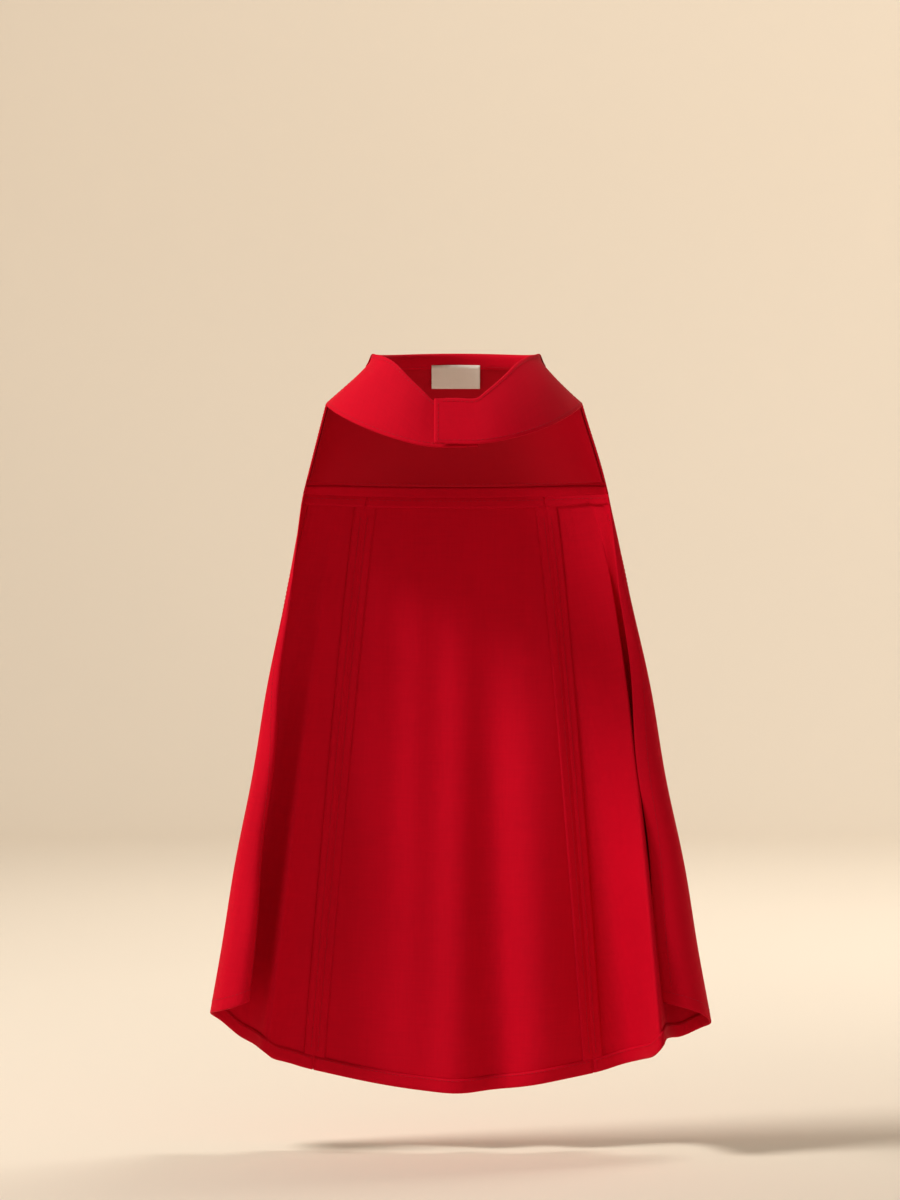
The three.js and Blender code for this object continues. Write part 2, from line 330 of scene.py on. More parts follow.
def stitch_run(name, path, normals, sizes, material):
    """A row of stitches along a path, each a spindle of thread that lies on the cloth.

    The first starts half a pitch along the path, and each other one a pitch after the last. A ring point
    is centre + side * cos + normal * sin, and a flat cap closes each end.
    """
    run = np.concatenate([[0.0], np.cumsum(np.linalg.norm(np.diff(path, axis=0), axis=1))])
    starts = np.arange(sizes.stitch_pitch / 2, run[-1] - sizes.stitch, sizes.stitch_pitch)
    along = starts[:, None] + sizes.stitch * STITCH_STATIONS

    def read(values):
        return np.stack([np.interp(along, run, values[:, k]) for k in range(3)], axis=-1)

    centre, normal = read(path), unit(read(normals))
    forward = unit(centre[:, [-1]] - centre[:, [0]])
    side = unit(np.cross(normal, forward))
    angle = np.arange(STITCH_SIDES) * (2 * math.pi / STITCH_SIDES)
    radius = (sizes.thread / 2) * STITCH_SWELL[None, :, None, None]
    middle = centre[:, :, None] + normal[:, :, None] * (sizes.thread * STITCH_RISE[None, :, None, None])
    ring = middle + radius * (
        side[:, :, None] * np.cos(angle)[None, None, :, None]
        + normal[:, :, None] * np.sin(angle)[None, None, :, None]
    )
    stations = len(STITCH_STATIONS)
    corner, tube = tube_faces(stations, STITCH_SIDES)
    starts_at = np.arange(len(starts))[:, None, None] * (stations * STITCH_SIDES)
    quads = (tube[None] + starts_at).reshape(-1, 4)
    caps = np.stack([corner[0][::-1], corner[-1]])
    end_caps = (caps[None] + starts_at).reshape(-1, STITCH_SIDES)
    return make_object(name, ring, quads.tolist() + end_caps.tolist(), material)


# ---------------------------------------------------------------- materials


class Nodes:
    """A new material's node tree, with short ways to add and join nodes."""

    def __init__(self, name):
        self.material = bpy.data.materials.new(name)
        self.material.use_nodes = True
        self.tree = self.material.node_tree
        self.shader = self.tree.nodes["Principled BSDF"]

    def add(self, kind, **settings):
        """A new node of this kind, with its settings."""
        node = self.tree.nodes.new(kind)
        for key, value in settings.items():
            setattr(node, key, value)
        return node

    def join(self, source, target):
        """A link from one socket to another."""
        self.tree.links.new(source, target)

    def maths(self, operation, first, second):
        """A Math node of two inputs, each a socket or a number."""
        node = self.add("ShaderNodeMath", operation=operation)
        for socket, value in zip(node.inputs, (first, second)):
            if isinstance(value, (int, float)):
                socket.default_value = value
            else:
                self.join(value, socket)
        return node.outputs[0]

    def noise(self, places, scale, detail=3.0, roughness=0.5):
        """A noise from 0 to 1 over the places."""
        node = self.add("ShaderNodeTexNoise")
        self.join(places, node.inputs["Vector"])
        node.inputs["Scale"].default_value = scale
        node.inputs["Detail"].default_value = detail
        node.inputs["Roughness"].default_value = roughness
        return node.outputs["Fac"]

    def stretched(self, places, scale):
        """The places multiplied by a scale for each axis."""
        node = self.add("ShaderNodeMapping")
        self.join(places, node.inputs["Vector"])
        node.inputs["Scale"].default_value = scale
        return node.outputs["Vector"]

    def bump(self, height, distance, strength=1.0, below=None):
        """A normal for a height of this distance, over the bump below it, if there is one."""
        node = self.add("ShaderNodeBump")
        self.join(height, node.inputs["Height"])
        node.inputs["Distance"].default_value = distance
        node.inputs["Strength"].default_value = strength
        if below is not None:
            self.join(below, node.inputs["Normal"])
        return node.outputs["Normal"]

    def tint(self, colour, shade, low, high):
        """The colour times a grey that goes from low to high with shade. Sets the base colour."""
        spread = self.add("ShaderNodeMapRange")
        self.join(shade, spread.inputs["Value"])
        spread.inputs["To Min"].default_value = low
        spread.inputs["To Max"].default_value = high
        node = self.add("ShaderNodeMix", data_type="RGBA", blend_type="MULTIPLY")
        node.inputs[0].default_value = 1.0
        node.inputs[6].default_value = (*colour, 1.0)
        self.join(spread.outputs[0], node.inputs[7])
        self.join(node.outputs[2], self.shader.inputs["Base Color"])

    def surface(self, roughness, sheen=0.0, sheen_tint=(1.0, 1.0, 1.0), specular=0.5):
        """Sets the shader's even values on its own sockets."""
        self.shader.inputs["Roughness"].default_value = roughness
        self.shader.inputs["Sheen Weight"].default_value = sheen
        self.shader.inputs["Sheen Roughness"].default_value = 0.35
        self.shader.inputs["Sheen Tint"].default_value = (*sheen_tint, 1.0)
        self.shader.inputs["Specular IOR Level"].default_value = specular


def woven(name, colour, pitch, roughness, sheen, sheen_tint, depth, shade_spread):
    """Plain weave: warp and weft are sine waves down and across the cut, and their product is the height.

    Slubs are noise drawn out along each thread. A slow noise over the whole cloth varies its shade.
    """
    nodes = Nodes(name)
    places = nodes.add("ShaderNodeUVMap", uv_map="cut").outputs["UV"]
    split = nodes.add("ShaderNodeSeparateXYZ")
    nodes.join(places, split.inputs[0])
    turns = 2.0 * math.pi / pitch
    warp = nodes.maths("SINE", nodes.maths("MULTIPLY", split.outputs[0], turns), 0.0)
    weft = nodes.maths("SINE", nodes.maths("MULTIPLY", split.outputs[1], turns), 0.0)
    weave = nodes.maths("MULTIPLY", warp, weft)
    slub_down = nodes.noise(nodes.stretched(places, (650.0, 45.0, 1.0)), 1.0, 2.0)
    slub_across = nodes.noise(nodes.stretched(places, (45.0, 650.0, 1.0)), 1.0, 2.0)
    slub = nodes.maths("ADD", slub_down, slub_across)
    body = nodes.add("ShaderNodeTexCoord").outputs["Object"]
    slow = nodes.noise(body, 9.0, 4.0, 0.55)
    shade = nodes.maths("ADD", nodes.maths("MULTIPLY", slub, 0.35), nodes.maths("MULTIPLY", slow, 0.65))
    shade = nodes.maths("ADD", shade, nodes.maths("MULTIPLY", weave, 0.12))
    nodes.tint(colour, shade, 1.0 - shade_spread, 1.0 + shade_spread)
    crease = nodes.noise(body, 70.0, 3.0)
    normal = nodes.bump(crease, 0.0006, 0.35)
    normal = nodes.bump(slub, 0.00006, 0.5, normal)
    normal = nodes.bump(weave, depth, 0.8, normal)
    nodes.join(normal, nodes.shader.inputs["Normal"])
    nodes.surface(roughness, sheen, sheen_tint, 0.07)
    return nodes.material


def cape_cloth(colours):
    """The outer cloth: plain weave at 0.55 mm, matt, with a clear change of shade."""
    return woven("cape_cloth", colours.cloth, 0.00055, 0.7, 0.06, (1.0, 0.02, 0.06), 0.00006, 0.16)


def lining_cloth(colours):
    """The lining: finer and smoother than the outer cloth."""
    return woven("lining_cloth", colours.lining, 0.0004, 0.5, 0.08, (1.0, 0.05, 0.08), 0.00004, 0.08)


def binding_tape(colours):
    """The neck binding: the outer cloth's colour in a coarser weave."""
    return woven("binding_tape", colours.cloth, 0.0007, 0.7, 0.06, (1.0, 0.02, 0.06), 0.00009, 0.08)


def stiffener_cloth(colours):
    """Non-woven stiffener: matted short fibres, so one fine noise and no weave."""
    nodes = Nodes("stiffener_cloth")
    body = nodes.add("ShaderNodeTexCoord").outputs["Object"]
    fibres = nodes.noise(nodes.stretched(body, (1.0, 1.0, 0.35)), 900.0, 4.0, 0.7)
    nodes.tint(colours.stiffener, fibres, 0.82, 1.08)
    nodes.join(nodes.bump(fibres, 0.00012), nodes.shader.inputs["Normal"])
    nodes.surface(0.95, 0.1)
    return nodes.material


def label_ribbon(colours):
    """Blank woven ribbon: a fine, flat plain weave."""
    return woven("label_ribbon", colours.label, 0.00035, 0.4, 0.1, (1.0, 1.0, 1.0), 0.00004, 0.05)


def sewing_thread(colours):
    """Twisted thread: a fine slanting wave for the ply."""
    nodes = Nodes("sewing_thread")
    body = nodes.add("ShaderNodeTexCoord").outputs["Object"]
    ply = nodes.add("ShaderNodeTexWave", bands_direction="DIAGONAL")
    nodes.join(body, ply.inputs["Vector"])
    ply.inputs["Scale"].default_value = 900.0
    ply.inputs["Distortion"].default_value = 1.0
    nodes.tint(colours.thread, ply.outputs["Fac"], 0.8, 1.15)
    nodes.join(nodes.bump(ply.outputs["Fac"], 0.00005), nodes.shader.inputs["Normal"])
    nodes.surface(0.5, 0.05, (1.0, 0.1, 0.12), 0.2)
    return nodes.material


def hook_nylon(colours):
    """Moulded hook tape: a smooth face with a fine grain."""
    nodes = Nodes("hook_nylon")
    body = nodes.add("ShaderNodeTexCoord").outputs["Object"]
    grain = nodes.noise(body, 700.0, 2.0)
    nodes.tint(colours.tape, grain, 0.85, 1.15)
    nodes.join(nodes.bump(grain, 0.00005), nodes.shader.inputs["Normal"])
    nodes.surface(0.38)
    return nodes.material


def loop_pile(colours):
    """Brushed loops: clumps from a cell texture, and fibres from noise."""
    nodes = Nodes("loop_pile")
    body = nodes.add("ShaderNodeTexCoord").outputs["Object"]
    clumps = nodes.add("ShaderNodeTexVoronoi")
    nodes.join(body, clumps.inputs["Vector"])
    clumps.inputs["Scale"].default_value = 900.0
    fibres = nodes.noise(body, 2400.0, 4.0, 0.7)
    pile = nodes.maths("ADD", clumps.outputs["Distance"], fibres)
    nodes.tint(colours.tape, pile, 0.7, 1.3)
    nodes.join(nodes.bump(pile, 0.0003), nodes.shader.inputs["Normal"])
    nodes.surface(0.95, 0.6, (1.0, 0.4, 0.4))
    return nodes.material


def backdrop_paint(colours):
    """Plain paper: a slow change of shade and a fine tooth."""
    nodes = Nodes("backdrop_paint")
    body = nodes.add("ShaderNodeTexCoord").outputs["Object"]
    nodes.tint(colours.backdrop, nodes.noise(body, 0.8, 2.0), 0.97, 1.03)
    nodes.join(nodes.bump(nodes.noise(body, 500.0), 0.0001, 0.3), nodes.shader.inputs["Normal"])
    nodes.surface(0.9, 0.0, specular=0.2)
    return nodes.material


def finish_of(maker):
    """The material that a maker function gives, made once."""
    found = bpy.data.materials.get(maker.__name__)
    return found or maker(bpy.context.scene.cape_colours)


# ---------------------------------------------------------------- surfaces

SEAM_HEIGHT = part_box("back_yoke_outer")[0][2]  # the yoke seam, at the middle of the back
SEAM_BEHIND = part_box("back_yoke_outer")[1][1] - 0.0004
SEAM_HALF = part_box("back_yoke_outer")[1][0] - 0.0004
NAPE_HEIGHT = 30 * MM
NAPE_BEHIND = 52 * MM
CORNER_BEHIND = 62 * MM
CORNER_RISE = 2 * MM
SHOULDER_SHARE = 0.4
STAND = 5 * MM  # the neckline edge turns up by this much
STAND_SHARE = 0.05
SET_IN = 2.3 * MM

# The shoulder seam runs from the neckline edge to the shoulder tip.
SHOULDER_NECK = np.array([53.6, 0.0, 26.5]) * MM
SHOULDER_TIP = np.array([83.0, 4.0, -4.0]) * MM


def stand_drop(down):
    """How far the cloth has come down off the neck's stand: 1 - exp(-down / share), times its height."""
    return STAND * (1.0 - np.exp(-down / STAND_SHARE))


def shoulder_line(share):
    """A point on the shoulder seam: a straight line that the stand steepens at the neck."""
    line = mix(SHOULDER_NECK, SHOULDER_TIP + [0, 0, STAND], share[..., None])
    line[..., 2] -= stand_drop(share)
    return line


def set_in(grid):
    """The wearer's left shoulder sits a little further in than the right: x shrinks above x = 50 mm.

    The shift grows smoothly sideways over 30 mm and fades out towards the yoke seam.
    """
    shifted = grid.copy()
    fade = smooth((grid[..., 2] + 50 * MM) / (50 * MM))
    shifted[..., 0] -= SET_IN * smooth((grid[..., 0] - 50 * MM) / (30 * MM)) * fade
    return shifted


def yoke_surface(columns, rows, reach=1.0, start=0.0, end=1.0):
    """The yoke. A row runs round the back from one side to the other.

    Its sides follow the shoulder seam and then a straight free edge to the yoke seam's end. With a the
    angle from the middle of the back, x is side * sin a, y runs from side to middle as cos a, and the
    height runs from middle to side as the square of sin a. reach is the share of the half turn that is
    made on each side, and start and end are shares of the way down.
    """
    angle = np.linspace(-reach, reach, columns)[None] * math.pi / 2
    down = np.linspace(start, end, rows)[:, None]
    upper = shoulder_line(np.clip(down[:, 0] / SHOULDER_SHARE, 0, 1))
    corner = np.array([SEAM_HALF, CORNER_BEHIND, SEAM_HEIGHT + CORNER_RISE])
    lower_share = np.clip((down - SHOULDER_SHARE) / (1 - SHOULDER_SHARE), 0, 1)
    side = mix(upper, corner, lower_share)[:, None]
    middle_y = mix(SEAM_BEHIND, NAPE_BEHIND, (1 - down) ** 2)
    middle_z = mix(NAPE_HEIGHT, SEAM_HEIGHT + STAND, down) - stand_drop(down)
    turned = np.sin(angle)
    x = side[..., 0] * turned
    y = mix(side[..., 1], middle_y, np.cos(angle))
    z = mix(middle_z, side[..., 2], turned**2)
    return set_in(np.stack([x, y, z], axis=-1))


# A front tab's two edges, from the shoulder seam to past the throat. The last three places of each are
# the flat end under which the pads lie. The neck edge is lower than the shoulder, the chest edge lower still.
THROAT_Y, THROAT_Z = -50.4, -6.0
CHEST_Y, CHEST_Z = -60.4, -34.0
TAB_NECK_EDGE = np.array(
    [
        (53.6, -0.4, 26.5),
        (52.0, -12.0, 26.0),
        (45.5, -25.0, 23.6),
        (38.3, -34.5, 18.8),
        (30.6, -42.0, 10.6),
        (21.0, -48.0, 1.0),
        (13.0, THROAT_Y, THROAT_Z),
        (0.0, THROAT_Y, THROAT_Z),
        (-13.0, THROAT_Y, THROAT_Z),
    ]
)
TAB_CHEST_EDGE = np.array(
    [
        (83.0, 3.6, -4.0),
        (81.0, -15.0, -7.0),
        (73.0, -32.0, -13.0),
        (60.0, -45.0, -20.0),
        (43.0, -54.5, -27.0),
        (26.0, -59.3, -32.0),
        (13.0, CHEST_Y, CHEST_Z),
        (0.0, CHEST_Y, CHEST_Z),
        (-13.0, CHEST_Y, CHEST_Z),
    ]
)
TAB_LIFT_START, TAB_LIFT_END = 0.28, 0.76


def tab_surface(side, columns, rows, lift, start=0.0, end=1.0):
    """A front tab: a ruled surface between its neck edge and its chest edge, lifted near the throat.

    side is 1 for the wearer's left and -1 for the right. The stand at the shoulder fades out forwards
    as exp(-(6 along)^2), and the middle of the tab swells off the chest by a sine of its depth. Its
    columns run from start to end, shares of the way from the shoulder to the tab's end.
    """
    along = np.linspace(start, end, columns)
    down = np.linspace(0.0, 1.0, rows)[:, None, None]
    weights = spline_weights(len(TAB_NECK_EDGE), along * (len(TAB_NECK_EDGE) - 1))
    neck, chest = weights @ TAB_NECK_EDGE * MM, weights @ TAB_CHEST_EDGE * MM
    grid = mix(chest[None], neck[None], 1.0 - down)
    fade = np.exp(-((6.0 * along) ** 2))
    grid[..., 2] -= (stand_drop(down[..., 0]) - STAND * down[..., 0]) * fade
    flat = smooth((along - 0.05) / 0.25) * smooth((0.72 - along) / 0.2)
    swell = TAB_SWELL * np.sin(math.pi * down[..., 0]) * flat
    up = lift * smooth((along - TAB_LIFT_START) / (TAB_LIFT_END - TAB_LIFT_START))
    grid = grid + grid_normals(grid) * (up + swell)[..., None]
    return set_in(grid) if side > 0 else (grid * [-1, 1, 1])[:, ::-1]


# The drape's bottom edge, from the middle of the back round to one free edge. The fourth place is the
# side seam. The two sides hang a little differently.
HEM_LEFT = np.array(
    [
        (0, 116, -456),
        (32, 120, -454),
        (64, 112, -449),
        (97, 116, -444),
        (115, 112, -439),
        (124, 90, -434),
        (130, 64, -429),
        (134.5, 50, -422),
        (137.5, 62, -418),
        (142, 88, -419.5),
        (151, 102, -420),
        (163, 97, -414),
        (169, 82, -409),
        (163, 68, -402),
        (150, 63, -397),
        (136, 67, -394),
    ]
)
HEM_RIGHT = np.array(
    [
        (0, 116, -456),
        (30, 113, -454),
        (64, 118, -449),
        (97, 112, -443),
        (112, 104, -438),
        (122, 94, -434),
        (127, 88, -429),
        (134, 98, -425),
        (145, 106, -420),
        (156, 100, -410),
        (162.5, 84, -403),
        (157, 69, -400),
        (147, 62, -397),
        (139, 61, -394),
        (136, 66, -393),
        (139, 73, -392),
    ]
)
SEAM_PLACE = 3  # which of those is the side seam
HEM_FINENESS = 40  # points to the next place
RIDGE_PLACE = 7  # which one is the ridge of the pleat
RIDGE_SPAN = 1.8  # how many places it reaches to either side
LEFT_RIDGE_FALL = 0.55  # the wearer's left ridge spreads as this power, so it stands out early
SEAM_ANGLE = math.radians(36)  # where the side seam meets the yoke
FALL_OUT = 0.87  # the drape spreads sideways as this power of the way down
FALL_BACK = 1.15  # and backwards as this one
DENT_FROM = 0.6  # soft dents run down the curl from this share of the way to the free edge
DENT_COUNT = 2.7
DENT_DEPTH = 2.2 * MM
DENT_SLANT = 0.35
DENT_LEAN = [0.6, 1.0]  # sideways and back
TOP_HOLD = (0.6, 0.4, 0.3)  # how firmly the rows under the yoke seam are held
DRAPE_COARSE = (64, 60)  # columns of each half and rows, as it hangs
DRAPE_ROWS = 158  # rows when it is finished
DRAPE_FINER = 1.5  # finished columns to a coarse one


def half_drape(hem, columns, rows, ridge_fall):
    """Half of the drape, from the middle of the back to its free edge, and the column of its side seam.

    The bottom row is the given line, and the top row is the yoke seam. Between them a point's height
    falls evenly with d, its x goes out as d^0.87 and its y goes back as d^1.15, so the folds grow out
    of a smooth top. Round the pleat's ridge x goes out as d to the power ridge_fall, so a ridge may
    stand out early. Near the free edge a slanting sine down the cloth makes the soft dents, and it fades
    out at the top and the bottom as 4 d (1 - d).
    """
    run = lengths(hem[:, None], 0)[:, 0]
    seam = run[SEAM_PLACE * HEM_FINENESS]
    seam_column = int(round((columns - 1) * seam / run[-1]))
    even = np.concatenate(
        [np.linspace(0, seam, seam_column + 1), np.linspace(seam, run[-1], columns - seam_column)[1:]]
    )
    hem = np.stack([np.interp(even, run, hem[:, k]) for k in range(3)], axis=-1)
    angle = np.where(
        even < seam,
        SEAM_ANGLE * even / seam,
        SEAM_ANGLE + (math.pi / 2 - SEAM_ANGLE) * (even - seam) / (run[-1] - seam),
    )
    top = np.stack(
        [
            SEAM_HALF * np.sin(angle),
            mix(CORNER_BEHIND, SEAM_BEHIND, np.cos(angle)),
            SEAM_HEIGHT - SEAM_GAP + CORNER_RISE * np.sin(angle) ** 2,
        ],
        axis=-1,
    )
    down = np.linspace(0.0, 1.0, rows)[:, None]
    place = np.interp(even, run, np.arange(len(run)) / HEM_FINENESS)
    fall = mix(FALL_OUT, ridge_fall, np.exp(-(((place - RIDGE_PLACE) / RIDGE_SPAN) ** 2)))
    share = np.stack(np.broadcast_arrays(down**fall, down**FALL_BACK, down), axis=-1)
    grid = mix(top[None], hem[None], share)
    near_edge = smooth((even / run[-1] - DENT_FROM) / (1 - DENT_FROM))
    dents = np.sin(2 * math.pi * (DENT_COUNT * down + DENT_SLANT * even / run[-1])) * down * (1 - down) * 4
    grid[..., :2] += DENT_DEPTH * (dents * near_edge)[..., None] * DENT_LEAN
    return grid, seam_column


def drape_design(columns, rows):
    """The whole drape from the wearer's right to left, and the columns of its two side seams."""
    places = np.concatenate([(HEM_RIGHT * [-1, 1, 1])[::-1], HEM_LEFT[1:]]) * MM
    middle = (len(HEM_RIGHT) - 1) * HEM_FINENESS
    fine = np.arange((len(places) - 1) * HEM_FINENESS + 1) / HEM_FINENESS
    hem = spline_weights(len(places), fine) @ places
    left, left_seam = half_drape(hem[middle:], columns, rows, LEFT_RIDGE_FALL)
    right, right_seam = half_drape((hem[: middle + 1] * [-1, 1, 1])[::-1], columns, rows, FALL_OUT)
    right = (right * [-1, 1, 1])[:, ::-1]
    return np.concatenate([right, left[:, 1:]], axis=1), (columns - 1 - right_seam, columns - 1 + left_seam)


def hang(grid, sizes):
    """The drape after it has hung as cloth for HANG_FRAMES frames, held hard at the yoke seam.

    The cloth is cut a little wide, and its other points are drawn to the shape they start with, weakly
    at the middle of the back and more firmly towards the free edges, so it falls into long upright
    creases between the same folds.
    """
    rows, columns = grid.shape[:2]
    made = make_object("hanging", grid, grid_faces(rows, columns), finish_of(cape_cloth))
    made.shape_key_add(name="hung")
    cut = made.shape_key_add(name="cut")
    wide = grid * [1.0 + sizes.fullness, 1.0 + sizes.fullness, 1.0]
    cut.data.foreach_set("co", wide.astype(np.float32).ravel())
    from_middle = np.abs(np.linspace(-1.0, 1.0, columns))
    steps = np.round(smooth((from_middle - FREE_FROM) / (HELD_FROM - FREE_FROM)) * HOLD_STEPS) / HOLD_STEPS
    hold = np.repeat(mix(sizes.hold_middle, sizes.hold_side, steps)[None], rows, axis=0)
    hold[0] = 1.0
    hold[1 : 1 + len(TOP_HOLD)] = np.array(TOP_HOLD)[:, None]
    group = made.vertex_groups.new(name="hold")
    for value in np.unique(hold):
        group.add(np.flatnonzero(hold == value).tolist(), float(value), "REPLACE")
    cloth = made.modifiers.new("hang", "CLOTH")
    cloth.settings.rest_shape_key = cut
    cloth.settings.vertex_group_mass = "hold"
    cloth.settings.quality = 6
    cloth.settings.mass = 0.15
    cloth.settings.tension_stiffness = 25.0
    cloth.settings.compression_stiffness = 25.0
    cloth.settings.shear_stiffness = 8.0
    cloth.settings.bending_stiffness = 3.0
    cloth.settings.air_damping = 2.0
    cloth.collision_settings.use_collision = False
    scene = bpy.context.scene
    scene.frame_start, scene.frame_end = 1, HANG_FRAMES
    for number in range(1, HANG_FRAMES + 1):
        scene.frame_set(number)
    hung = made.evaluated_get(bpy.context.evaluated_depsgraph_get()).data
    points = np.zeros(rows * columns * 3, np.float32)
    hung.vertices.foreach_get("co", points)
    bpy.data.objects.remove(made)
    scene.frame_set(1)
    return points.reshape(rows, columns, 3).astype(float)


# ---------------------------------------------------------------- moving with the frame

# Pieces that span two of the cape's bodies: the two bodies and two points on the line of the bend. Nothing
# here bends the cloth; only the names are read, so that such a piece is left on no single body.
BENDS = {
    "back": ("yoke", "drape", (0, 0.080, -0.012), (0, 0.080, -0.058)),
    "left_tab": ("yoke", "left_tab", (0.06, 0.0, 0.0), (0.06, -0.024, 0.0)),
    "right_tab": ("yoke", "right_tab", (-0.06, 0.0, 0.0), (-0.06, -0.024, 0.0)),
    "left_side": ("drape", "left_side", (0.100, 0.1, -0.3), (0.160, 0.1, -0.3)),
    "right_side": ("drape", "right_side", (-0.100, 0.1, -0.3), (-0.160, 0.1, -0.3)),
}


def join_frame(made, where, stands_for=()):
    """Puts a finished piece on its body, or, for a piece named in BENDS, bakes its placement and leaves it on
    no body; then hides the CAD nodes it stands for.
    """
    if where in BENDS:
        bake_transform(made)
    else:
        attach(made, where)
    if stands_for:
        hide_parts(*stands_for)
    return made


def sew(name, grid, side, inset, where, sizes, face=1, layer=0.0, trim=(0, 0)):
    """A row of stitches along one side of a cloth, on its outer face (1) or its inner one (-1).

    inset is the distance in from the edge, and layer how far the sewn face is from the grid.
    """
    points, normals = edge_rows(grid, side, [inset])
    kept = slice(trim[0], points.shape[1] - trim[1])
    outward = normals[0, kept] * face
    made = stitch_run(name, points[0, kept] + outward * layer, outward, sizes, finish_of(sewing_thread))
    return join_frame(made, where)


# ---------------------------------------------------------------- cuts and small parts

FOLD_GAP = 0.15 * MM  # between a cloth and its turned edge
UNDER_HEM = 0.1 * MM  # side turnings lie this much under the hem and the top turning
TAB_TURNING = 5 * MM
STIFFENER_DEPTH = 1.25 * MM  # how far in from the yoke's cloth
LINING_DEPTH = 1.8 * MM
TAB_LINING_DEPTH = 1.35 * MM
CLOSURE_LIFT = 5.6 * MM
STIFFENER_THICK = 0.4 * MM
BINDING_THICK = 0.4 * MM
LABEL_THICK = 0.2 * MM
YOKE_GRID = (151, 64)  # columns and rows
TAB_GRID = (131, 44)
YOKE_SEAM_INSETS = (2.0 * MM, 5.0 * MM)  # stitches in from the edge that they follow
YOKE_SIDE_INSET = 1.6 * MM
SEAM_INSET = 2.0 * MM
BINDING_INSET = 6.8 * MM
LABEL_INSET = 1.2 * MM
TAB_INSET = 1.8 * MM
TAB_LINING_INSET = 1.2 * MM
HEM_STITCH_BACK = 1.5 * MM  # from the hem's turned edge to its stitches

# The binding from its outer fold over the neck edge to its inner fold, and the label from its sewn end
# to its fold and back: distance below the neck edge and height off the yoke's cloth, in millimetres.
BINDING_PROFILE = np.array(
    [
        (7.4, 0.62),
        (8.1, 0.64),
        (8.4, 0.78),
        (8.1, 0.93),
        (5.0, 1.0),
        (2.0, 0.95),
        (0.0, 0.8),
        (-0.9, 0.3),
        (-1.3, -0.9),
        (-0.9, -2.1),
        (0.0, -2.6),
        (2.0, -2.7),
        (5.0, -2.7),
        (8.1, -2.65),
        (8.4, -2.5),
        (8.1, -2.36),
        (7.4, -2.34),
    ]
)
LABEL_REACH = 0.184
LABEL_HALF = 15.8 * MM
LABEL_PROFILE = np.array(
    [(5.5, -3.15), (8, -3.2), (12, -2.75), (16, -2.6), (20, -2.6), (22.3, -2.7), (22.8, -3.0)]
    + [(22.3, -3.35), (20, -3.5), (16, -3.45), (12, -3.4), (8, -3.45), (5.5, -3.4)]
)

# The pads lie on the closure's slope. Depths are heights off the right tab's cloth, back to front.
PAD_HALF = 11 * MM
CLOSURE_MIDDLE = np.array([0.0, (THROAT_Y + CHEST_Y) / 2, (THROAT_Z + CHEST_Z) / 2]) * MM
CLOSURE_DOWN = unit(np.array([0.0, CHEST_Y - THROAT_Y, CHEST_Z - THROAT_Z]))
CLOSURE_OUT = np.array([0.0, CLOSURE_DOWN[2], -CLOSURE_DOWN[1]])
LOOP_DEPTHS = (0.5 * MM, 1.5 * MM)
HOOK_DEPTHS = (3.0 * MM, 3.95 * MM)
HOOK_COUNT = 16
LOOP_COUNT = 20


def closure_place(across, down, out):
    """A point of the closure: across the body, down its slope and out from the right tab's cloth."""
    across, down, out = (np.asarray(v, float)[..., None] for v in (across, down, out))
    return CLOSURE_MIDDLE + [1.0, 0.0, 0.0] * across + CLOSURE_DOWN * down + CLOSURE_OUT * out


def pad_outline(count):
    """A square with round corners: the radius is half / (|cos|^10 + |sin|^10)^(1/10)."""
    angle = np.linspace(0.0, 2 * math.pi, count, endpoint=False) + math.pi / count
    cos, sin = np.cos(angle), np.sin(angle)
    radius = PAD_HALF / (np.abs(cos) ** 10 + np.abs(sin) ** 10) ** 0.1
    return np.stack([radius * cos, radius * sin], axis=-1)


def pad_shell(back, front):
    """A pad: the outline carried from back to front in rings that swell at the rim, closed by fans."""
    outline = pad_outline(72)
    shares = np.array([0.5, 0.93, 0.985, 1.0, 1.0, 0.985, 0.93, 0.5])
    heights = mix(back, front, np.array([0.0, 0.0, 0.08, 0.3, 0.7, 0.92, 1.0, 1.0]))
    rings = closure_place(
        outline[None, :, 0] * shares[:, None],
        outline[None, :, 1] * shares[:, None],
        np.broadcast_to(heights[:, None], (len(heights), len(outline))),
    )
    ends = closure_place(0.0, 0.0, back), closure_place(0.0, 0.0, front)
    points = np.concatenate([rings.reshape(-1, 3), ends[0][None], ends[1][None]])
    count = len(outline)
    corner = np.arange(len(heights) * count).reshape(len(heights), count)
    following = np.roll(corner, -1, axis=1)
    walls = np.stack([corner[:-1], corner[1:], following[1:], following[:-1]], axis=-1).reshape(-1, 4)
    base, tip = len(points) - 2, len(points) - 1
    fans = np.concatenate(
        [
            np.stack([corner[0], following[0], np.full(count, base)], axis=-1),
            np.stack([following[-1], corner[-1], np.full(count, tip)], axis=-1),
        ]
    )
    return points, [*walls.tolist(), *fans.tolist()]


